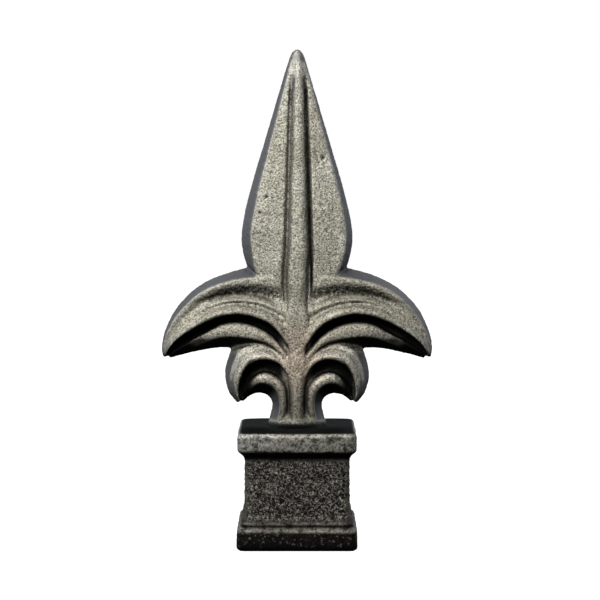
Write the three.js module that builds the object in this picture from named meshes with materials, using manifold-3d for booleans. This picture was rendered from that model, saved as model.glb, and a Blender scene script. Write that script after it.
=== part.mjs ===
// Cast-iron fleur-de-lis finial for a fence picket: a ribbed spear blade over two drooping leaves and two
// small curls, on a moulded square base that is hollow below and slips over a one-inch square bar.
// Millimetres, +Z up. The origin is the centre of the base's underside, and the carved faces look along -Y
// and +Y. Both faces are alike, because the piece is cast in two mirrored mould halves that part at Y = 0.
import * as THREE from "three";
import { mergeVertices } from "three/addons/utils/BufferGeometryUtils.js";
import Module from "manifold-3d";

// Driving dimensions
const TOTAL_HEIGHT = 150;
const DIE_WIDTH = 31.75; // the plain middle of the base, 1 1/4 inch
const SOCKET_WIDTH = 26; // takes a 25.4 mm square bar
const SOCKET_DEPTH = 30;
const CAP_WIDTH = 35.7; // upper moulding of the base
const CAP_TOP = 35.6;
const PLINTH_WIDTH = 36.3; // lower moulding of the base
const PLINTH_TOP = 6.6;
const CORNER_RADIUS = 1.8; // upright corners of the base
const NECK_HEIGHT = 84.1; // where the blade's edge meets the leaf
const PARTING_LAND = 0.35; // half the thin edge left where the mould halves meet
const FLANGE = 2.4; // half thickness of the metal at the bottom of the deep crescents
const STEM_LEVEL = 5.5; // half thickness where the leaves flow into the stem

const wasm = await Module();
wasm.setup();

const points = (pairs) => pairs.map(([x, z]) => new THREE.Vector2(x, z));
const edge = (...pairs) => new THREE.SplineCurve(points(pairs));

// A closed surface through rings with the same number of points, each end closed by a fan.
function loft(rings) {
  const count = rings[0].length;
  const vertices = rings.flat();
  const faces = [];
  for (let i = 0; i + 1 < rings.length; i++) {
    for (let j = 0; j < count; j++) {
      const a = i * count + j;
      const b = i * count + ((j + 1) % count);
      faces.push(a, b, b + count, a, b + count, a + count);
    }
  }
  const last = (rings.length - 1) * count;
  for (const [start, turned] of [[0, true], [last, false]]) {
    const ring = vertices.slice(start, start + count);
    const middle = ring.reduce((sum, p) => sum.add(p), new THREE.Vector3()).divideScalar(count);
    const hub = vertices.push(middle) - 1;
    for (let j = 0; j < count; j++) {
      const a = start + j;
      const b = start + ((j + 1) % count);
      faces.push(hub, ...(turned ? [b, a] : [a, b]));
    }
  }
  return new THREE.BufferGeometry().setFromPoints(vertices).setIndex(faces);
}

// The same surface as a solid, with its faces turned outwards.
function solid(geometry) {
  const bare = geometry.clone();
  bare.deleteAttribute("normal");
  bare.deleteAttribute("uv");
  const merged = mergeVertices(bare, 1e-4);
  const vertProperties = new Float32Array(merged.attributes.position.array);
  const triVerts = new Uint32Array(merged.index.array);
  const made = new wasm.Manifold(new wasm.Mesh({ numProp: 3, vertProperties, triVerts }));
  if (made.volume() > 0) return made;
  return new wasm.Manifold(new wasm.Mesh({ numProp: 3, vertProperties, triVerts: triVerts.reverse() }));
}

// One ring: the front face from its first edge to its last, then the same points on the back.
function twoFaced(front) {
  const back = front.map((p) => new THREE.Vector3(p.x, -p.y, p.z)).reverse();
  return [...front, ...back];
}

// A leaf between two edges. Each row of the section is [share across, half thickness, carving depth]:
// swell scales the thickness and depth scales the carving, both from the root at 0 to the tip at 1. Where a
// reach is given, the rows between the edges start level with the stem and take their own height over it.
// The rings stand closer together at the root, where the leaf grows out of the stem.
function lobe({ upper, lower, section, steps, side, swell = () => 1, depth = () => 1, reach = 0 }) {
  const rings = [];
  for (let i = 0; i <= steps; i++) {
    const t = (i / steps) ** 1.25;
    const a = upper.getPoint(t);
    const b = lower.getPoint(t);
    const grown = reach > 0 ? smooth(t, 0, reach) : 1;
    const front = section.map(([share, half, carved = 0], row) => {
      const p = a.clone().lerp(b, share);
      const own = Math.max(PARTING_LAND, half * swell(t) - carved * depth(t));
      const isEdge = row === 0 || row === section.length - 1;
      const lift = isEdge ? own : mix(STEM_LEVEL, own, grown);
      return new THREE.Vector3(side * p.x, -lift, p.y);
    });
    rings.push(twoFaced(front));
  }
  return solid(loft(rings));
}

// An upright ridge, the same on both sides of the middle. Each row of the section is [x, half thickness].
function upright(stations, sectionAt) {
  const rings = stations.map((station) => {
    const half = sectionAt(station);
    const right = half.map(([x, lift]) => new THREE.Vector3(x, -lift, station.z));
    const left = half.slice(0, -1).map(([x, lift]) => new THREE.Vector3(-x, -lift, station.z));
    return twoFaced([...right, ...left.reverse()]);
  });
  return solid(loft(rings));
}

const smooth = THREE.MathUtils.smoothstep;
const mix = THREE.MathUtils.lerp;

// How far the bottom of each groove beside the rib is from the middle
const ribEdge = (z) => mix(3.3, 3.9, smooth(z, 69, 82)) - 0.03 * Math.max(0, z - NECK_HEIGHT);

// Edges of one side's leaves, from the stem out to the tip
const leafEdge = edge(
  [4, 86], [15.1, 84], [24, 81.4], [31, 77.7], [36.9, 71.6], [40.2, 65], [41.3, 59.6], [40.8, 56.7],
);
const leafLip = edge(
  [2.4, 59], [7.5, 66.1], [16, 69.5], [24, 68.7], [31, 65.5], [36.3, 62], [39, 59.1], [39.7, 57],
);
const secondLeafTop = edge(
  [3.2, 58.4], [8.5, 64.4], [15.6, 67.7], [22.5, 67.4], [29, 64], [35, 60.4], [39.2, 57.6],
);
const secondLeafUnderside = edge(
  [3.4, 55.4], [8.8, 58.4], [16.4, 58.9], [22.6, 59.6], [28.5, 58.9], [34.5, 57.5], [38.8, 56.3],
);
const curlEdge = edge(
  [3.2, 60.5], [8, 62.3], [13.5, 62.8], [19, 60.7], [21.4, 55.4], [22.05, 50.8], [20.9, 45.9], [18.3, 42.6],
);
const curlLip = edge(
  [2.2, 50], [4.8, 54.2], [8.6, 55.9], [12.8, 55.3], [15.7, 52.7], [17.2, 49.6], [17.6, 46.3], [17.2, 43.4],
);
const innerCurlArch = [
  [2.8, 43.5], [3.4, 48.3], [6.3, 51.5], [10.2, 52.7], [13.8, 50.9], [16, 47.4], [16.7, 44.1],
];
const innerCurlTop = edge([3.6, 34.8], [3, 39.1], ...innerCurlArch);
const innerCurlUnderside = edge(
  [9.4, 34.8], [8.1, 39.4], [7.6, 42], [7.9, 43.5], [9.2, 45], [11.8, 45.6], [14.2, 44.9], [15.6, 43.8],
  [16.6, 42.9],
);

// Spear blade: flat faces with drafted edges, and a round rib along the middle.
function blade() {
  const outline = edge(
    [15.1, NECK_HEIGHT], [16.4, 88.5], [16.9, 93.6], [16.1, 99.7], [13.7, 109.4],
    [7.9, 128.8], [3.6, 143.2], [2.1, 147.8],
  );
  const rows = [[3.4, 64], [3.8, 72], [4.1, 77.5], [6.4, 79.8], [12, 81.2], [14.2, 82.4]];
  const outlineSteps = 13;
  for (let i = 0; i <= outlineSteps; i++) {
    const p = outline.getPoint(i / outlineSteps);
    rows.push([p.x, p.y]);
  }
  rows.push([1.6, TOTAL_HEIGHT - 1], [0.9, TOTAL_HEIGHT - 0.3], [0.3, TOTAL_HEIGHT]);
  const stations = rows.map(([w, z]) => ({ w, z }));
  return upright(stations, ({ w, z }) => {
    const face = mix(4.3, 2.8, smooth(z, NECK_HEIGHT, TOTAL_HEIGHT));
    const rib = Math.min(ribEdge(z) - 0.9, 0.5 * w);
    const rounded = 1 - 0.75 * smooth(z, 143, TOTAL_HEIGHT) ** 1.5;
    const draft = 0.85 * w;
    return [
      [w, PARTING_LAND],
      [draft, (face - 0.15) * rounded],
      [mix(draft, rib, 0.35), face * rounded],
      [rib, (face + 0.4) * rounded],
      [0.6 * rib, (face + 1) * rounded],
      [0, (face + 1.1) * rounded],
    ];
  });
}

// One of the four V grooves along the rib, as the shape that is cut away. It's deepest along the blade and
// runs out in the stem's field and at the tip. Its wall on the rib's side slopes more than the other.
function ribGroove(side, facing) {
  const heights = [69, 72, 75, 79, 86, 104, 120, 134, 141, 145, 147];
  const mouth = 9;
  const rings = heights.map((z) => {
    const deepest = mix(2.5, 1.5, smooth(z, 84, 140));
    const bottom = deepest + 4 * (1 - smooth(z, 66, 76)) + 1.8 * smooth(z, 138, 147);
    const opening = mouth - bottom;
    const section = [
      [ribEdge(z), bottom], [ribEdge(z) + 0.42 * opening, mouth], [ribEdge(z) - 0.52 * opening, mouth],
    ];
    return section.map(([x, lift]) => new THREE.Vector3(side * x, facing * lift, z));
  });
  return solid(loft(rings));
}

// Upper leaf: raised rim, hollow, thin ridge, groove, and a broad ridge that stands high over the crescent.
function upperLeaf(side) {
  return lobe({
    side,
    steps: 18,
    upper: leafEdge,
    lower: leafLip,
    section: [
      [0, PARTING_LAND], [0.17, 4.6], [0.28, 4.8, 0.2], [0.44, 4.8, 1.5], [0.52, 4.9, 0.8],
      [0.59, 5.2, 0.1], [0.67, 5.5, 1.2], [0.76, 6, 0.1], [0.86, 6.6], [0.95, 6.4], [1, 1.6],
    ],
    swell: (t) => 0.93 + 0.07 * smooth(t, 0, 0.06) - 0.42 * smooth(t, 0.35, 1),
    depth: (t) => smooth(t, -0.02, 0.07) * (1 - 0.85 * smooth(t, 0.28, 0.62)),
  });
}

// Second leaf, below the deep crescent: a flat face down to a lip, and below the lip a slope to the
// underside. Towards the tip the face dies away until only that slope is left.
function secondLeaf(side) {
  return lobe({
    side,
    steps: 15,
    upper: secondLeafTop,
    lower: secondLeafUnderside,
    section: [
      [0, 1.8, -0.6], [0.08, 4.4, 1.5], [0.28, 5, 2.4], [0.52, 4.9, 3], [0.6, 4.1, 2.4], [0.8, 2, 1],
      [1, PARTING_LAND],
    ],
    depth: (t) => smooth(t, 0.44, 0.74),
    reach: 0.2,
  });
}

// Outer leaf of the curl, hooking down to the tip beside the deep hollow.
function outerCurl(side) {
  return lobe({
    side,
    steps: 18,
    upper: curlEdge,
    lower: curlLip,
    section: [[0, PARTING_LAND], [0.32, 3.6], [0.46, 3.8], [0.62, 5], [0.8, 5.8], [0.94, 5.4], [1, 1.6]],
    swell: (t) => 1 - 0.3 * smooth(t, 0.5, 1),
    reach: 0.2,
  });
}

// Inner leaf of the curl: it rises beside the stem, arches over the round gap and ends at the same tip.
function innerCurl(side) {
  return lobe({
    side,
    steps: 18,
    upper: innerCurlTop,
    lower: innerCurlUnderside,
    section: [
      [0, 1.8, -0.4], [0.09, 4.2, 1.8], [0.28, 4.8, 2.8], [0.47, 4.6, 3], [0.55, 4, 2.5], [0.78, 2, 1.1],
      [1, PARTING_LAND],
    ],
    depth: (t) => smooth(t, 0.62, 0.84),
  });
}

// Thin metal that closes the bottom of a deep crescent between two leaves.
function crescentFloor(side, upper, lower) {
  const section = [[-0.2, FLANGE], [1.2, FLANGE]];
  return lobe({ side, steps: 12, upper, lower, section, swell: (t) => 1 - 0.4 * t });
}

// Everything that grows from one side of the stem.
function foliage(side) {
  return [
    upperLeaf(side),
    crescentFloor(side, leafLip, secondLeafTop),
    secondLeaf(side),
    outerCurl(side),
    crescentFloor(side, curlLip, edge(...innerCurlArch)),
    innerCurl(side),
  ];
}

// Middle of the stem: a slim ridge between the curls that widens into a plain field where the leaves meet.
function stem() {
  const rows = [
    [34.8, 3.4, 6.6], [37, 2.9, 6.1], [39, 2.5, 5.8], [42, 2.2, 5.7], [47, 2.3, 5.7], [50.5, 2.8, 5.8],
    [54, 3.2, 5.8], [58, 2.4, 5.9], [62, 2.6, 6], [66, 3.6, 6], [70, 3.4, 5.8], [74, 2.5, 5.2],
    [79, 1.2, 4.5],
  ];
  const stations = rows.map(([z, w, crest]) => ({ z, w, crest }));
  return upright(stations, ({ z, w, crest }) => {
    const shoulder = mix(0.55, 0.96, smooth(z, 48, 54));
    const between = mix(shoulder, 1, 0.65);
    return [[w, shoulder * crest], [0.82 * w, between * crest], [0.45 * w, crest], [0, crest]];
  });
}

// The stem's foot, flaring out onto the cap.
function foot() {
  const rows = [
    [34.8, 10.9, 8.9], [35.9, 9.7, 7.5], [36.8, 8.8, 6.4], [38, 8.1, 5.4], [39.5, 7.6, 4.2], [41, 7.2, 3],
  ];
  const stations = rows.map(([z, w, crest]) => ({ z, w, crest }));
  const angles = [0, 25, 50, 70, 90].map(THREE.MathUtils.degToRad);
  return upright(stations, ({ w, crest }) =>
    angles.map((angle) => [w * Math.cos(angle), Math.max(PARTING_LAND, crest * Math.sin(angle))]));
}

// Thin metal behind the narrow grooves beside the stem.
function core() {
  const stations = [[34.8, 5], [47, 4.2], [52, 4.4], [60, 6], [64, 8], [76, 8]].map(([z, w]) => ({ z, w }));
  return upright(stations, ({ w }) => [[w, FLANGE - 0.2], [0, FLANGE - 0.2]]);
}

// A square ring with rounded corners, at one height of the base.
function squareRing(halfWidth, z) {
  const ring = [];
  const centre = halfWidth - CORNER_RADIUS;
  const cornerSteps = 2;
  for (let corner = 0; corner < 4; corner++) {
    for (let i = 0; i <= cornerSteps; i++) {
      const angle = (Math.PI / 2) * (corner + i / cornerSteps);
      const [sx, sy] = [[1, 1], [-1, 1], [-1, -1], [1, -1]][corner];
      ring.push(new THREE.Vector3(
        sx * centre + CORNER_RADIUS * Math.cos(angle),
        sy * centre + CORNER_RADIUS * Math.sin(angle),
        z,
      ));
    }
  }
  return ring;
}

// Base: plinth moulding, plain die and cap moulding, hollowed from below for the bar.
function base() {
  const die = DIE_WIDTH / 2;
  const cap = CAP_WIDTH / 2;
  const plinth = PLINTH_WIDTH / 2;
  const profile = [
    [plinth - 0.6, 0], [plinth, 0.8], [plinth - 0.1, PLINTH_TOP - 1.1], [plinth - 0.5, PLINTH_TOP - 0.2],
    [plinth - 1, PLINTH_TOP + 0.1], [die + 0.7, PLINTH_TOP + 0.5], [die + 1.1, PLINTH_TOP + 1.1],
    [die + 0.95, PLINTH_TOP + 1.9], [die + 0.6, PLINTH_TOP + 3], [die, PLINTH_TOP + 4.4],
    [die - 0.1, CAP_TOP - 8.2],
    [die + 0.4, CAP_TOP - 7.2], [cap - 0.6, CAP_TOP - 6.3], [cap, CAP_TOP - 5.6], [cap, CAP_TOP - 1.1],
    [cap - 0.5, CAP_TOP - 0.3], [cap - 1.3, CAP_TOP],
  ];
  const block = solid(loft(profile.map(([halfWidth, z]) => squareRing(halfWidth, z))));
  const below = 5;
  const hollow = new THREE.BoxGeometry(SOCKET_WIDTH, SOCKET_WIDTH, SOCKET_DEPTH + below);
  hollow.translate(0, 0, (SOCKET_DEPTH - below) / 2);
  return { block, hollow: solid(hollow) };
}

// The whole casting is one solid.
function casting() {
  const { block, hollow } = base();
  const ironwork = [core(), blade(), stem(), foot(), ...foliage(-1), ...foliage(1)];
  const grooves = [ribGroove(-1, -1), ribGroove(1, -1), ribGroove(-1, 1), ribGroove(1, 1)];
  const joined = ironwork.reduce((sum, piece) => sum.add(piece), block);
  const mesh = [hollow, ...grooves].reduce((left, cutter) => left.subtract(cutter), joined).getMesh();
  const geometry = new THREE.BufferGeometry();
  geometry.setAttribute("position", new THREE.BufferAttribute(new Float32Array(mesh.vertProperties), 3));
  geometry.setIndex(new THREE.BufferAttribute(new Uint32Array(mesh.triVerts), 1));
  geometry.computeVertexNormals();
  return geometry;
}

const castIron = new THREE.MeshStandardMaterial({ color: "#75736c", roughness: 0.55, metalness: 0.8 });
const finial = new THREE.Mesh(casting(), castIron);
finial.name = "finial_casting";

const root = new THREE.Group();
root.add(finial);
export default root;
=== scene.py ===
"""The looks of a cast-iron fleur-de-lis finial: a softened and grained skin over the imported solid."""

import math
import random

import bpy
import numpy
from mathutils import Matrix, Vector
from mathutils.bvhtree import BVHTree


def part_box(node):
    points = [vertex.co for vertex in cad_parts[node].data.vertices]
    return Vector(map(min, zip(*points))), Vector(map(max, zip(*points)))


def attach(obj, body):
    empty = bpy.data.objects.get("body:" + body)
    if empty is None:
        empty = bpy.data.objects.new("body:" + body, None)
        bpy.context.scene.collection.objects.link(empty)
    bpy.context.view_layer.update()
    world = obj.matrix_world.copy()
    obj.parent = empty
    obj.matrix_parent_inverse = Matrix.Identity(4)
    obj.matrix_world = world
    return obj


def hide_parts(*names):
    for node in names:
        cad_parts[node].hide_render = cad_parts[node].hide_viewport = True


MM = 0.001
FRONT = -1
BACK = 1
WHITE = (1.0, 1.0, 1.0, 1.0)

# Sizes of the casting, in metres
CAP_TOP = 35.6 * MM
DIE_HALF = 15.9 * MM
DIE_BOTTOM = 8.6 * MM
DIE_TOP = 26.5 * MM
BLADE_BOTTOM = 82.0 * MM
SOCKET_HALF = 13.0 * MM
SOCKET_TOP = 30.0 * MM

VOXEL = 0.34 * MM
MERGE_DISTANCE = 0.001 * MM
MOST_TRIANGLES = 194000
SOCKET_MARGIN = 0.6 * MM
RIM_MARGIN = 0.45 * MM

# How far the front mould half sat to the right, and over what depth and height that sets in
MOULD_SHIFT = 0.45 * MM
SHIFT_DEPTH = (0.5 * MM, 3.5 * MM)
SHIFT_HEIGHT = (BLADE_BOTTOM, BLADE_BOTTOM + 8 * MM)

# The parting line on the sides of the base: where the sides begin, and how it fades from its middle
SEAM_SIDE = 14.5 * MM
SEAM_WIDTH = (0.15 * MM, 0.55 * MM)
SEAM_HEIGHT = 0.14 * MM

# The hollow along the top of each leaf: the middle of its arc, its half length, drop and half width
HOLLOW_X = 15.5 * MM
HOLLOW_Z = 77.7 * MM
HOLLOW_REACH = 12.5 * MM
HOLLOW_DROP = 2.9 * MM
HOLLOW_HALF_WIDTH = 1.9 * MM

# The finer groove below that hollow: its highest point, its reach out and in, its drop and half width
LEAF_GROOVE_X = 17.5 * MM
LEAF_GROOVE_Z = 76.3 * MM
LEAF_GROOVE_OUT = 16.5 * MM
LEAF_GROOVE_IN = 12.0 * MM
LEAF_GROOVE_DROP = 3.5 * MM
LEAF_GROOVE_HALF_WIDTH = 0.9 * MM

# The painted shadow at the end of each upper leaf's crescent: where it begins, and the lip above it, height
# and slope
DARK_END_X = 30.0 * MM
DARK_END_LIP = 66.4 * MM
DARK_END_SLOPE = 0.78

# The lip over each curl's crescent is part of an ellipse: its middle and its two radii
CURL_LIP_X = 10.4 * MM
CURL_LIP_Z = 48.0 * MM
CURL_LIP_WIDTH = 7.2 * MM
CURL_LIP_HEIGHT = 10.6 * MM
CURL_END_SIDE = (12.4 * MM, 14.8 * MM)
CURL_END_FOOT = (43 * MM, 45 * MM)

# The flat floors of the crescents: their depth from the middle plane, and where they begin beside the stem
CRESCENT_FLOOR = (2.6 * MM, 3.4 * MM)
CRESCENT_START = (3.4 * MM, 5 * MM)

# The plain field of the stem: its sides, its foot, which keeps more of the painted shade, and its top
STEM_FIELD_SIDE = (3.6 * MM, 6 * MM)
STEM_FIELD_FOOT = (47 * MM, 53 * MM)
STEM_FIELD_TOP = (66 * MM, 70 * MM)

# The two grooves beside the blade's rib: how far from the middle they start, and how fast they close in
GROOVE_MIDDLE = 3.9 * MM
GROOVE_TAPER = 0.03
GROOVE_WALL_SIDE = (1.2 * MM, 1.7 * MM)
GROOVE_WALL_TOP = (132 * MM, 140 * MM)

# Their painted shadow: the blackest middle, the half width and darkness of each, and where they change
GROOVE_BOTTOM = 0.2 * MM
LEFT_GROOVE = (0.7 * MM, 0.3)
RIGHT_GROOVE = (0.9 * MM, 1.0)
GROOVE_CLOSING = 0.4
GROOVE_NARROWS = (100 * MM, 145 * MM)
GROOVE_DARK_FOOT = (70 * MM, 80 * MM)
GROOVE_DARK_TOP = (138 * MM, 146 * MM)

# Depths from the middle plane: the faces that stand high, and the outer edge of the sloping sides
HIGH_FACE = (3.2 * MM, 4.2 * MM)
SLOPE_EDGE = (3.9 * MM, 4.5 * MM)

# How far the next skin lies from a sloping side that is open to the outside
SLOPE_CLEARANCE = (2 * MM, 9 * MM)

# How squarely a face looks along an axis, from not enough to fully
LOOKS_OUT = (0.3, 0.6)
LOOKS_STRAIGHT_OUT = (0.78, 0.92)
LOOKS_DOWN = (0.3, 0.62)
LOOKS_UP = (0.7, 0.92)
LEANS_UP = (0.2, 0.5)
LOOKS_SIDEWAYS = (0.5, 0.7)

# The relief of the skin: how far apart its waves, worms and sand lie, and how deep they go
WAVE_SPACING = 7 * MM
WORM_SPACING = 0.95 * MM
SAND_SPACING = 0.9 * MM
WAVE_DEPTH = 0.22 * MM
BASE_SAND_DEPTH = 0.22 * MM
FOLIAGE_SAND_DEPTH = 0.2 * MM
DIE_WORM_DEPTH = 0.36 * MM
HOLLOW_WORM_DEPTH = 0.4 * MM

# Pits that show on the front of the blade: place across, height and radius
SHOWN_PITS = (
    (7.8 * MM, 117.3 * MM, 0.75 * MM),
    (-9.2 * MM, 105.6 * MM, 0.65 * MM),
    (-11.2 * MM, 100.8 * MM, 0.65 * MM),
)
DEEP_PIT = 0.35 * MM

# The other pits: how many, where they may lie, their radius, and their depth as a share of it
PIT_COUNT = 34
PIT_SEED = 21
PIT_SIDE = 14 * MM
PIT_HEIGHTS = (3 * MM, 128 * MM)
PIT_RADII = (0.35 * MM, 0.6 * MM)
PIT_SHARE = 0.35

# Sizes of the material's patterns
GRAIN_SIZE = 0.55 * MM
GLINT_SIZE = 0.8 * MM
WORM_SIZE = 1.1 * MM
BLOTCH_SIZE = 2.2 * MM
PATCH_SIZE = 9 * MM
PAINTED_SHADE_REACH = 6 * MM
BUMP_DEPTH = 0.2 * MM

# The share of the painted shade that the open skin is spared
SHADE_SPARED = 0.72

# Where a little rust shows, on the front, and how far it reaches
RUST_CENTRE = (0.0, -6 * MM, 57 * MM)
RUST_FULL = 4 * MM
RUST_END = 14 * MM

# How light the skin is at each height above the foot, in millimetres: partly its own tone and partly
# painted light and shade, with painted highlights on the lips and the bead and painted shadow under the cap
TONE_TOP = 90.0
TONES_AND_PAINTED_LIGHT = [
    # The plinth, darker partly as painted shade, the painted highlight on its lip, and painted shade in the
    # groove above it
    (0.0, "#1d1c1c"), (5.4, "#272626"), (6.1, "#b0afae"), (6.7, "#b0afae"),
    (7.1, "#242322"), (7.5, "#242322"),
    # The painted highlight on the bead, the cove in painted shade, and the corners of the die
    (7.9, "#8f8e8c"), (8.3, "#a3a2a0"), (8.7, "#4e4d4b"), (10.5, "#4e4d4b"),
    (11.5, "#7c7b79"), (26.8, "#7c7b79"),
    # The painted shadow under the cap, the cap, and the painted highlight on its lip
    (27.8, "#1c1c1c"), (28.9, "#1c1c1c"), (30.0, "#c0c1c4"), (33.4, "#c5c6c9"), (34.9, "#fafbff"),
    # The stem and the foliage
    (36.0, "#ffffff"), (39.0, "#a09e9a"), (45.0, "#bcbab6"), (50.0, "#f4f3f1"), (58.0, "#ffffff"),
    (63.0, "#efeeec"), (74.0, "#efeeec"), (TONE_TOP, "#ffffff"),
]

# The photograph's camera
PHOTO_WIDTH_PIXELS = 600
FOCAL_PIXELS = 2000
SENSOR_WIDTH = 36.0
FOCAL_LENGTH = SENSOR_WIDTH * FOCAL_PIXELS / PHOTO_WIDTH_PIXELS
CAMERA_DISTANCE = 610.0 * MM
CAMERA_PITCH = math.radians(4.2)
VIEW_CENTRE = Vector((0.9 * MM, 0, 74.1 * MM))

# The floor, and the even light that comes from all round
FLOOR_SIZE = 6.0
FLOOR_GAP = 0.05 * MM
WORLD_LIGHT = 0.04

# Each softbox: its place from the point that it lights, its width, height, power in watts and colour
LIT_POINT = Vector((0, 0, 0.08))
SOFTBOXES = {
    "key_softbox": ((-0.28, -0.7, 0.5), 0.35, 0.3, 14.0, "#fffefa"),
    "left_softbox": ((-0.8, 0.2, 0.2), 0.4, 0.6, 4.0, "#f4f6fc"),
    "right_softbox": ((0.8, 0.2, 0.2), 0.4, 0.6, 3.2, "#f4f6fc"),
    "left_back_softbox": ((-0.35, 0.5, 0.75), 0.5, 0.5, 3.6, "#f4f6fc"),
    "right_back_softbox": ((0.5, 0.5, 0.65), 0.5, 0.5, 3.6, "#f4f6fc"),
}

scene = bpy.context.scene


# Small helpers
def only(piece):
    """Selects one piece and makes it active."""
    bpy.ops.object.select_all(action="DESELECT")
    piece.select_set(True)
    bpy.context.view_layer.objects.active = piece


def apply_modifier(piece, kind, **settings):
    """Adds a modifier with its settings and applies it."""
    only(piece)
    modifier = piece.modifiers.new(kind.lower(), kind)
    for name, value in settings.items():
        setattr(modifier, name, value)
    bpy.ops.object.modifier_apply(modifier=modifier.name)


def texture(name, kind, **settings):
    """A procedural texture for displacement."""
    made = bpy.data.textures.new(name, kind)
    for key, value in settings.items():
        setattr(made, key, value)
    return made


def rise(value, start, end):
    """0 before start, 1 after end, and smooth between them."""
    share = min(1.0, max(0.0, (value - start) / (end - start)))
    return share * share * (3 - 2 * share)


def weight(piece, name, rule):
    """Makes a vertex group whose weight at each point comes from a rule of its place and normal."""
    group = piece.vertex_groups.new(name=name)
    for vertex in piece.data.vertices:
        amount = rule(vertex.co, vertex.normal)
        if amount > 0.01:
            group.add([vertex.index], min(1.0, amount), "REPLACE")


def mark(piece, name, rule, softening):
    """Makes an attribute for the material from such a rule, evened out over the neighbouring points."""
    mesh = piece.data
    values = numpy.array([rule(vertex.co, vertex.normal) for vertex in mesh.vertices])
    ends = numpy.empty(2 * len(mesh.edges), dtype=int)
    mesh.edges.foreach_get("vertices", ends)
    first, second = ends[::2], ends[1::2]
    neighbours = numpy.bincount(ends, minlength=len(values)) + 1
    for _ in range(softening):
        total = values.copy()
        total += numpy.bincount(first, values[second], len(values))
        total += numpy.bincount(second, values[first], len(values))
        values = total / neighbours
    layer = mesh.attributes.new(name, "FLOAT", "POINT")
    layer.data.foreach_set("value", values)


# Camera
def make_camera():
    """The photograph's view: from the front, a few degrees above level."""
    data = bpy.data.cameras.new("photo_camera")
    data.lens = FOCAL_LENGTH
    data.sensor_width = SENSOR_WIDTH
    camera = bpy.data.objects.new("photo_camera", data)
    scene.collection.objects.link(camera)
    back = Vector((0, -math.cos(CAMERA_PITCH), math.sin(CAMERA_PITCH)))
    camera.location = VIEW_CENTRE + back * CAMERA_DISTANCE
    camera.rotation_euler = (math.radians(90) - CAMERA_PITCH, 0, 0)
    scene.camera = camera


# Rules that say where each kind of skin lies, from 0 to 1, by a point's place and normal
def in_socket(place):
    """Inside the bar's socket, and just round its mouth."""
    inside = max(abs(place.x), abs(place.y)) < SOCKET_HALF + SOCKET_MARGIN
    return inside and place.z < SOCKET_TOP + SOCKET_MARGIN


def on_underside(place):
    """On the rim that the casting stands on."""
    return place.z < RIM_MARGIN


def on_outside(place, normal):
    """Everywhere but the socket and the rim."""
    return 0.0 if in_socket(place) or on_underside(place) else 1.0


def on_base(place, normal):
    """The outside of the base, up to the edge of its cap."""
    return on_outside(place, normal) * (1 - rise(place.z, CAP_TOP - 1.5 * MM, CAP_TOP + 0.2 * MM))


def on_die(place, normal):
    """The rough middle of the base, without its smoother rounded corners."""
    corner = rise(min(abs(place.x), abs(place.y)), DIE_HALF - 1.5 * MM, DIE_HALF - 0.5 * MM)
    height = rise(place.z, DIE_BOTTOM, DIE_BOTTOM + 1 * MM) - rise(place.z, DIE_TOP, DIE_TOP + 0.5 * MM)
    return (1 - corner) * height * on_base(place, normal)


def on_foliage(place, normal):
    """The stem, leaves, curls and blade, above the cap."""
    return rise(place.z, CAP_TOP, CAP_TOP + 2 * MM)


def on_seam(place, normal):
    """The mould's parting line up the two sides of the base."""
    if on_underside(place) or place.z > CAP_TOP - 0.5 * MM or abs(place.x) < SEAM_SIDE:
        return 0.0
    return 1 - rise(abs(place.y), *SEAM_WIDTH)


def in_leaf_hollow(place, normal):
    """The coarse dark hollow that runs along the top of each leaf, on both faces."""
    along = (abs(place.x) - HOLLOW_X) / HOLLOW_REACH
    middle = HOLLOW_Z - HOLLOW_DROP * along * along
    across = abs(place.z - middle) / HOLLOW_HALF_WIDTH
    inside = (1 - rise(abs(along), 0.75, 1.15)) * (1 - rise(across, 0.45, 1.1))
    return inside * rise(abs(normal.y), *LOOKS_OUT)


def in_leaf_groove(place, normal):
    """Painted olive-brown shade in the soft groove between the thin ridge and the broad one."""
    out = abs(place.x) - LEAF_GROOVE_X
    along = out / (LEAF_GROOVE_OUT if out > 0 else LEAF_GROOVE_IN)
    middle = LEAF_GROOVE_Z - LEAF_GROOVE_DROP * along * along
    across = abs(place.z - middle) / LEAF_GROOVE_HALF_WIDTH
    inside = (1 - rise(abs(along), 0.7, 1.1)) * (1 - rise(across, 0.1, 1.0))
    return inside * rise(abs(normal.y), *LOOKS_OUT)


def facing_down(place, normal):
    """Where the casting faces the ground, which is given painted shade."""
    return rise(-normal.z, *LOOKS_DOWN) * on_outside(place, normal)


def in_leaf_end(place):
    """Below the lip at the end of each upper leaf, where painted shadow blackens the crescent and the
    second leaf.
    """
    along = abs(place.x) - DARK_END_X
    lip = DARK_END_LIP - DARK_END_SLOPE * along
    return rise(along, 0, 3 * MM) * rise(lip - place.z, 0, 0.8 * MM)


def in_curl_end(place):
    """Below the lip at the outer end of each curl, where painted shadow darkens the inner leaf."""
    across = (abs(place.x) - CURL_LIP_X) / CURL_LIP_WIDTH
    up = (place.z - CURL_LIP_Z) / CURL_LIP_HEIGHT
    inside = 1 - rise(math.hypot(across, up), 0.9, 1.0)
    return inside * rise(abs(place.x), *CURL_END_SIDE) * rise(place.z, *CURL_END_FOOT)


def on_deep_floor(place, normal):
    """Painted shadow on the flat bottoms of the crescents below the leaves and in the curls."""
    deep = (1 - rise(abs(place.y), *CRESCENT_FLOOR)) * rise(abs(normal.y), *LOOKS_STRAIGHT_OUT)
    deep *= rise(abs(place.x), *CRESCENT_START)
    return deep * on_foliage(place, normal) * (1 - rise(place.z, *STEM_FIELD_TOP))


def in_painted_shadow_hollow(place, normal):
    """Painted shadow over all of the crescents."""
    return max(in_leaf_end(place), in_curl_end(place), on_deep_floor(place, normal))


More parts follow.
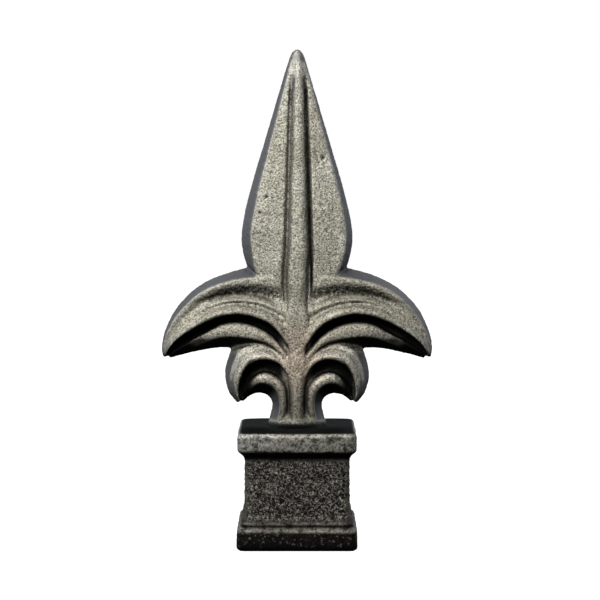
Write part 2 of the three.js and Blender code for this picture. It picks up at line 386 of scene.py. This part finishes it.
def on_cap_top(place, normal):
    """The flat top of the base, and the lowest part of the stem's foot, which are given painted shade."""
    flat = rise(place.z, CAP_TOP - 1 * MM, CAP_TOP - 0.4 * MM) * rise(normal.z, *LOOKS_UP)
    foot = rise(place.z, CAP_TOP - 0.4 * MM, CAP_TOP) * rise(normal.z, *LEANS_UP)
    return max(flat, foot) * (1 - rise(place.z, CAP_TOP + 0.9 * MM, CAP_TOP + 2.2 * MM))


def from_groove(place):
    """How far a point of the blade is, sideways, from the bottom of the nearer groove."""
    shift = MOULD_SHIFT if place.y < 0 else 0.0
    middle = GROOVE_MIDDLE - GROOVE_TAPER * max(0.0, place.z - BLADE_BOTTOM)
    return abs(abs(place.x - shift) - middle)


def beside_groove(place):
    """Both walls of the grooves, from the stem's field to near the tip."""
    along = rise(place.z, *STEM_FIELD_TOP) * (1 - rise(place.z, *GROOVE_WALL_TOP))
    return along * (1 - rise(from_groove(place), *GROOVE_WALL_SIDE))


def in_groove_shadow(place, normal):
    """Painted shadow in the bottoms of the grooves. Seen from either face, the right one is wider and
    blacker.
    """
    width, darkness = RIGHT_GROOVE if place.x * place.y < 0 else LEFT_GROOVE
    width *= 1 - GROOVE_CLOSING * rise(place.z, *GROOVE_NARROWS)
    along = rise(place.z, *GROOVE_DARK_FOOT) * (1 - rise(place.z, *GROOVE_DARK_TOP))
    return along * darkness * (1 - rise(from_groove(place), GROOVE_BOTTOM, width))


def on_open_skin(place, normal):
    """The high faces, the stem's field and the grooves beside the rib, which take little of the painted
    shade.
    """
    high = rise(abs(place.y), *HIGH_FACE)
    field = (1 - rise(abs(place.x), *STEM_FIELD_SIDE)) * (1 - rise(place.z, *STEM_FIELD_TOP))
    field *= 0.35 + 0.65 * rise(place.z, *STEM_FIELD_FOOT)
    return max(high, field, beside_groove(place)) * on_foliage(place, normal)


def drafted_edge(piece):
    """A rule for the smooth sloping sides round the leaves and blade, where nothing lies further out."""
    places = [vertex.co for vertex in piece.data.vertices]
    surface = BVHTree.FromPolygons(places, [face.vertices for face in piece.data.polygons])

    def rule(place, normal):
        sideways = Vector((normal.x, 0, normal.z))
        steep = rise(sideways.length, *LOOKS_SIDEWAYS) * rise(place.z, CAP_TOP + 1 * MM, CAP_TOP + 3 * MM)
        if steep < 0.01:
            return 0.0
        low = (1 - rise(abs(place.y), *SLOPE_EDGE)) * (1 - beside_groove(place))
        distance = surface.ray_cast(place + normal * 0.5 * MM, sideways.normalized())[3]
        return steep * low * (1.0 if distance is None else rise(distance, *SLOPE_CLEARANCE))

    return rule


# The marks that the material reads: each one's rule, and how many times it is evened out. Two more are made
# apart: drafted_edge on the sloping sides, and pit where the skin is dented
MARKS = {
    "facing_down": (facing_down, 2),
    "cap_top": (on_cap_top, 2),
    "leaf_hollow": (in_leaf_hollow, 2),
    "painted_shadow_hollow": (in_painted_shadow_hollow, 2),
    "leaf_groove": (in_leaf_groove, 2),
    "groove": (in_groove_shadow, 1),
    "open_skin": (on_open_skin, 2),
    "die": (on_die, 2),
}


# The casting
def mould_shift(mesh):
    """The front mould half sat a little to the right of the back one, which shows on the blade's edges."""
    for vertex in mesh.vertices:
        co = vertex.co
        if co.z > BLADE_BOTTOM and co.y < 0:
            co.x += MOULD_SHIFT * rise(-co.y, *SHIFT_DEPTH) * rise(co.z, *SHIFT_HEIGHT)


def softened_copy(node):
    """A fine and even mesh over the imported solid, with its ridges softened, mostly above the base."""
    piece = bpy.data.objects.new("cast_finial", node.data.copy())
    scene.collection.objects.link(piece)
    only(piece)
    bpy.ops.object.mode_set(mode="EDIT")
    bpy.ops.mesh.select_all(action="SELECT")
    bpy.ops.mesh.remove_doubles(threshold=MERGE_DISTANCE)
    bpy.ops.object.mode_set(mode="OBJECT")
    voxel = VOXEL
    apply_modifier(piece, "REMESH", mode="VOXEL", voxel_size=voxel, adaptivity=0)
    weight(piece, "foliage", on_foliage)
    weight(piece, "outside", on_outside)
    apply_modifier(piece, "SMOOTH", factor=0.5, iterations=2)
    apply_modifier(piece, "SMOOTH", factor=0.5, iterations=4, vertex_group="foliage")
    return piece


def add_relief(piece):
    """Gives the skin the waves of an uneven mould, the grain of its sand, and the parting line."""
    weight(piece, "base", on_base)
    weight(piece, "die", on_die)
    weight(piece, "leaf_hollow", in_leaf_hollow)
    weight(piece, "seam", on_seam)
    waves = texture("uneven_mould", "CLOUDS", noise_scale=WAVE_SPACING, noise_depth=1)
    worms = texture("coarse_sand", "DISTORTED_NOISE", noise_scale=WORM_SPACING, distortion=1.6)
    sand = texture("sand", "CLOUDS", noise_scale=SAND_SPACING, noise_depth=1)
    reliefs = (
        ("outside", waves, WAVE_DEPTH),
        ("base", sand, BASE_SAND_DEPTH),
        ("die", worms, DIE_WORM_DEPTH),
        ("foliage", sand, FOLIAGE_SAND_DEPTH),
        ("leaf_hollow", worms, HOLLOW_WORM_DEPTH),
    )
    for group, relief, depth in reliefs:
        apply_modifier(
            piece, "DISPLACE", texture=relief, texture_coords="LOCAL", strength=depth, vertex_group=group)
    apply_modifier(piece, "DISPLACE", strength=SEAM_HEIGHT, mid_level=0, vertex_group="seam")


def blow_holes():
    """Pits left by gas and loose sand: those that show on the blade, and a seeded scatter on both faces."""
    holes = [(x, z, FRONT, radius, DEEP_PIT) for x, z, radius in SHOWN_PITS]
    draw = random.Random(PIT_SEED)
    for _ in range(PIT_COUNT):
        face = draw.choice((FRONT, BACK))
        x = draw.uniform(-PIT_SIDE, PIT_SIDE)
        z = draw.uniform(*PIT_HEIGHTS)
        radius = draw.uniform(*PIT_RADII)
        holes.append((x, z, face, radius, PIT_SHARE * radius))
    return holes


def dent(mesh, holes):
    """Presses small round pits into the skin and marks them. Each hole is (x, z, face, radius, depth)."""
    places = numpy.array([vertex.co for vertex in mesh.vertices])
    darkness = numpy.zeros(len(places))
    for x, z, face, radius, depth in holes:
        distance = numpy.hypot(places[:, 0] - x, places[:, 2] - z)
        near = (distance < radius) & (places[:, 1] * face > 0)
        share = 1 - (distance[near] / radius) ** 2
        places[near, 1] -= face * depth * share
        darkness[near] = numpy.maximum(darkness[near], share * min(1.0, depth / DEEP_PIT))
    mesh.vertices.foreach_set("co", places.ravel())
    layer = mesh.attributes.new("pit", "FLOAT", "POINT")
    layer.data.foreach_set("value", darkness)


def make_casting(node):
    """The casting's skin, with its relief and the marks that its material reads."""
    piece = softened_copy(node)
    mould_shift(piece.data)
    for name, (rule, softening) in MARKS.items():
        mark(piece, name, rule, softening)
    mark(piece, "drafted_edge", drafted_edge(piece), softening=5)
    add_relief(piece)
    dent(piece.data, blow_holes())
    triangles = 2 * len(piece.data.polygons)
    if triangles > MOST_TRIANGLES:
        apply_modifier(piece, "DECIMATE", ratio=MOST_TRIANGLES / triangles)
    only(piece)
    bpy.ops.object.shade_smooth()
    piece.vertex_groups.clear()
    return piece


# Materials
def hex_colour(text):
    """An sRGB hex colour as linear RGBA."""
    parts = [int(text[i:i + 2], 16) / 255 for i in (1, 3, 5)]
    linear = [p / 12.92 if p <= 0.04045 else ((p + 0.055) / 1.055) ** 2.4 for p in parts]
    return (*linear, 1.0)


def add_node(tree, kind, inputs=None, output=None, stops=(), **settings):
    """Adds a node with its settings and gives back the named output, or else the first in use.

    An input is a number, a colour or another node's output. It goes by the socket's name, or by its number
    where several sockets share a name. A colour ramp's stops are pairs of a place and an sRGB hex colour.
    """
    node = tree.nodes.new(kind)
    for name, value in settings.items():
        setattr(node, name, value)
    if stops:
        elements = node.color_ramp.elements
        while len(elements) < len(stops):
            elements.new(0.5)
        for element, (place, colour) in zip(elements, stops):
            element.position = place
            element.color = hex_colour(colour)
    in_use = [socket for socket in node.inputs if socket.enabled]
    sockets = {socket.name: socket for socket in in_use} | dict(enumerate(in_use))
    for key, value in (inputs or {}).items():
        if isinstance(value, bpy.types.NodeSocket):
            tree.links.new(value, sockets[key])
        else:
            sockets[key].default_value = value
    outputs = [socket for socket in node.outputs if socket.enabled and output in (None, socket.name)]
    return outputs[0] if outputs else None


def new_material(name):
    """An empty material and its node tree."""
    material = bpy.data.materials.new(name)
    material.use_nodes = True
    tree = material.node_tree
    tree.nodes.clear()
    return material, tree


def cast_iron():
    """Bare sand-cast iron: a broad dull metal gloss, speckled by the sand, with painted shade in the
    hollows and painted highlights on edges and ridges.
    """
    material, tree = new_material("bare_cast_iron")
    noise = "ShaderNodeTexNoise"
    ramp = "ShaderNodeValToRGB"
    place = add_node(tree, "ShaderNodeTexCoord", output="Object")
    height = add_node(tree, "ShaderNodeSeparateXYZ", {"Vector": place}, "Z")
    level = add_node(tree, "ShaderNodeMapRange", {"Value": height, "From Max": TONE_TOP * MM})
    marks = {
        name: add_node(tree, "ShaderNodeAttribute", output="Fac", attribute_name=name)
        for name in (*MARKS, "drafted_edge", "pit")}

    # Moulding sand is 0.2 to 0.4 mm across. It is drawn at 0.55 mm, the finest that shows at this size
    grain = add_node(
        tree, noise, {"Vector": place, "Scale": 1 / GRAIN_SIZE, "Detail": 2.0, "Roughness": 0.65})
    speckle = [(0.34, "#65645d"), (0.45, "#999790"), (0.56, "#b7b5ab"), (0.7, "#d0cec4")]
    skin = add_node(tree, ramp, {"Fac": grain}, stops=speckle)
    mottle = add_node(tree, noise, {"Vector": place, "Scale": 1 / PATCH_SIZE, "Detail": 2.0})
    patches = add_node(tree, ramp, {"Fac": mottle}, stops=[(0.35, "#deddd8"), (0.65, "#ffffff")])
    layers = [("MULTIPLY", patches, 1.0)]

    # The base is darker down to its foot, partly its own tone and partly painted shade, with painted
    # highlights and shadows on its mouldings, and it is blotched by its coarser sand
    tones_and_painted_light = add_node(tree, ramp, {"Fac": level}, stops=[(z / TONE_TOP, tone) for z, tone in TONES_AND_PAINTED_LIGHT])
    mottle = add_node(tree, noise, {"Vector": place, "Scale": 1 / BLOTCH_SIZE, "Detail": 2.0})
    blotches = add_node(tree, ramp, {"Fac": mottle}, stops=[(0.34, "#8f8e8f"), (0.52, "#ffffff")])
    below_cap = [(34 / TONE_TOP, "#ffffff"), (37 / TONE_TOP, "#000000")]
    base = add_node(tree, ramp, {"Fac": level}, stops=below_cap)
    layers += [("MULTIPLY", tones_and_painted_light, 1.0), ("MULTIPLY", blotches, base)]

    # The sloping sides have a smooth bluish grey, with a painted highlight along the arris where they meet
    # the faces
    edge = marks["drafted_edge"]
    arris_highlight_stops = [(0.12, "#000000"), (0.4, "#a8a8a8"), (0.68, "#000000")]
    painted_arris_highlight = add_node(tree, ramp, {"Fac": edge}, stops=arris_highlight_stops)
    layers += [("MIX", hex_colour("#535456"), edge), ("MIX", hex_colour("#b4b5b4"), painted_arris_highlight)]

    # The die's coarse sand left worm-like ridges about 1 mm apart, with a painted highlight along their
    # tops
    worms = add_node(
        tree, noise, {"Vector": place, "Scale": 1 / WORM_SIZE, "Detail": 2.0, "Distortion": 0.7})
    crest_highlight_stops = [
        (0.37, "#171615"), (0.455, "#353330"), (0.5, "#96938b"), (0.545, "#353330"), (0.63, "#171615")]
    ridges_and_painted_highlights = add_node(tree, ramp, {"Fac": worms}, stops=crest_highlight_stops)
    layers.append(("MIX", ridges_and_painted_highlights, marks["die"]))

    # Painted glints, as of light caught by sand grains, speckle the dark front of the plinth
    sand = add_node(tree, noise, {"Vector": place, "Scale": 1 / GLINT_SIZE, "Detail": 1.0})
    painted_glints = add_node(tree, ramp, {"Fac": sand}, stops=[(0.6, "#000000"), (0.72, "#ffffff")])
    front = [(5.2 / TONE_TOP, "#ffffff"), (5.9 / TONE_TOP, "#000000")]
    plinth = add_node(tree, ramp, {"Fac": level}, stops=front)
    painted_glints = add_node(tree, "ShaderNodeMath", {0: painted_glints, 1: plinth}, operation="MULTIPLY")
    layers.append(("MIX", hex_colour("#555250"), painted_glints))

    # A breath of rust where the leaves meet
    distance = add_node(tree, "ShaderNodeVectorMath", {0: place, 1: RUST_CENTRE}, operation="DISTANCE")
    rust = add_node(
        tree, "ShaderNodeMapRange", {"Value": distance, "From Min": RUST_END, "From Max": RUST_FULL})
    layers.append(("MULTIPLY", hex_colour("#fff3ee"), rust))

    # Painted shade, from how closed in each point is, darkens the hollows and mostly spares the open skin,
    # and the leaf hollows are blotched
    shade = add_node(tree, "ShaderNodeAmbientOcclusion", {"Distance": PAINTED_SHADE_REACH}, "AO", samples=12)
    black = [(0.48, "#030303"), (0.66, "#545454"), (0.82, "#ffffff")]
    painted_occlusion_shade = add_node(tree, ramp, {"Fac": shade}, stops=black)
    painted_shade_share = add_node(
        tree, "ShaderNodeMath", {0: marks["open_skin"], 1: -SHADE_SPARED, 2: 1.0}, operation="MULTIPLY_ADD")
    blotch = [(0.36, "#807e7a"), (0.5, "#ffffff"), (0.64, "#807e7a")]
    coarse = add_node(tree, ramp, {"Fac": worms}, stops=blotch)
    layers += [("MULTIPLY", painted_occlusion_shade, painted_shade_share), ("MULTIPLY", coarse, marks["leaf_hollow"])]

    # Painted shade and shadow darken the grooves, crescents, undersides and the top of the cap, and the
    # pits are darkened too
    scale = {
        "leaf_groove": "#8a877b",
        "facing_down": "#2a2a29",
        "painted_shadow_hollow": "#242424",
        "groove": "#1e1e1c",
        "pit": "#1a1a18",
        "cap_top": "#071316",
    }
    layers += [("MULTIPLY", hex_colour(darkest), marks[name]) for name, darkest in scale.items()]
    for kind, colour, share in layers:
        inputs = {"Factor": share, "A": skin, "B": colour}
        skin = add_node(tree, "ShaderNodeMix", inputs, data_type="RGBA", blend_type=kind)

    # The sand stands out less on the sloping sides, and the die's ridges stand out most
    strength = add_node(tree, "ShaderNodeMapRange", {"Value": edge, "To Min": 1.0, "To Max": 0.3})
    relief = add_node(
        tree, "ShaderNodeMath", {0: ridges_and_painted_highlights, 1: marks["die"], 2: grain}, operation="MULTIPLY_ADD")
    bump = add_node(
        tree, "ShaderNodeBump", {"Height": relief, "Strength": strength, "Distance": BUMP_DEPTH})
    iron = add_node(
        tree, "ShaderNodeBsdfPrincipled",
        {"Base Color": skin, "Normal": bump, "Metallic": 0.9, "Roughness": 0.68})
    add_node(tree, "ShaderNodeOutputMaterial", {"Surface": iron})
    return material


# Floor, light and background
def make_floor(height):
    """White paper under the casting. It glows, so that it is white all over and shows no shadow."""
    bpy.ops.object.select_all(action="DESELECT")
    bpy.ops.mesh.primitive_plane_add(size=FLOOR_SIZE, location=(0, 0, height))
    floor = bpy.context.object
    floor.name = "studio_floor"
    bpy.ops.object.transform_apply(location=True, rotation=False, scale=False)
    material, tree = new_material("white_paper")
    paper = add_node(tree, "ShaderNodeBsdfDiffuse", {"Color": hex_colour("#808080")})
    glow = add_node(tree, "ShaderNodeEmission", {"Color": WHITE, "Strength": 1.0})
    both = add_node(tree, "ShaderNodeAddShader", {0: paper, 1: glow})
    add_node(tree, "ShaderNodeOutputMaterial", {"Surface": both})
    floor.data.materials.append(material)
    floor.visible_diffuse = False
    floor.visible_glossy = False


def make_softboxes():
    """Soft lights that the camera doesn't see: a key from the left front, two sides and two backs."""
    for name, (offset, width, height, power, colour) in SOFTBOXES.items():
        data = bpy.data.lights.new(name, "AREA")
        data.shape = "RECTANGLE"
        data.size = width
        data.size_y = height
        data.energy = power
        data.color = hex_colour(colour)[:3]
        light = bpy.data.objects.new(name, data)
        scene.collection.objects.link(light)
        light.location = LIT_POINT + Vector(offset)
        light.rotation_euler = (-Vector(offset)).to_track_quat("-Z", "Y").to_euler()
        light.visible_camera = False


def make_background():
    """White to the camera, and a dim even light to everything else."""
    world = bpy.data.worlds.new("studio")
    scene.world = world
    world.use_nodes = True
    tree = world.node_tree
    tree.nodes.clear()
    seen = add_node(tree, "ShaderNodeLightPath", output="Is Camera Ray")
    dim = add_node(tree, "ShaderNodeBackground", {"Color": WHITE, "Strength": WORLD_LIGHT})
    white = add_node(tree, "ShaderNodeBackground", {"Color": WHITE, "Strength": 1.0})
    mixed = add_node(tree, "ShaderNodeMixShader", {0: seen, 1: dim, 2: white})
    add_node(tree, "ShaderNodeOutputWorld", {"Surface": mixed})
    scene.view_settings.view_transform = "Standard"


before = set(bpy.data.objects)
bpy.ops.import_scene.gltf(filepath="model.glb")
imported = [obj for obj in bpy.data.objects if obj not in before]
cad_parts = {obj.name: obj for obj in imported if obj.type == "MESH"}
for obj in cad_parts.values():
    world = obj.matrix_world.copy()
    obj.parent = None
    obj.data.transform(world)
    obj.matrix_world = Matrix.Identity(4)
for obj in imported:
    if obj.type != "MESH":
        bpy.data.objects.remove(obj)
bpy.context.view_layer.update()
make_camera()
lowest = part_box("finial_casting")[0].z
finial = make_casting(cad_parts["finial_casting"])
finial.data.materials.clear()
finial.data.materials.append(cast_iron())
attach(finial, "root")
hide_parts("finial_casting")
make_floor(lowest - FLOOR_GAP)
make_softboxes()
make_background()
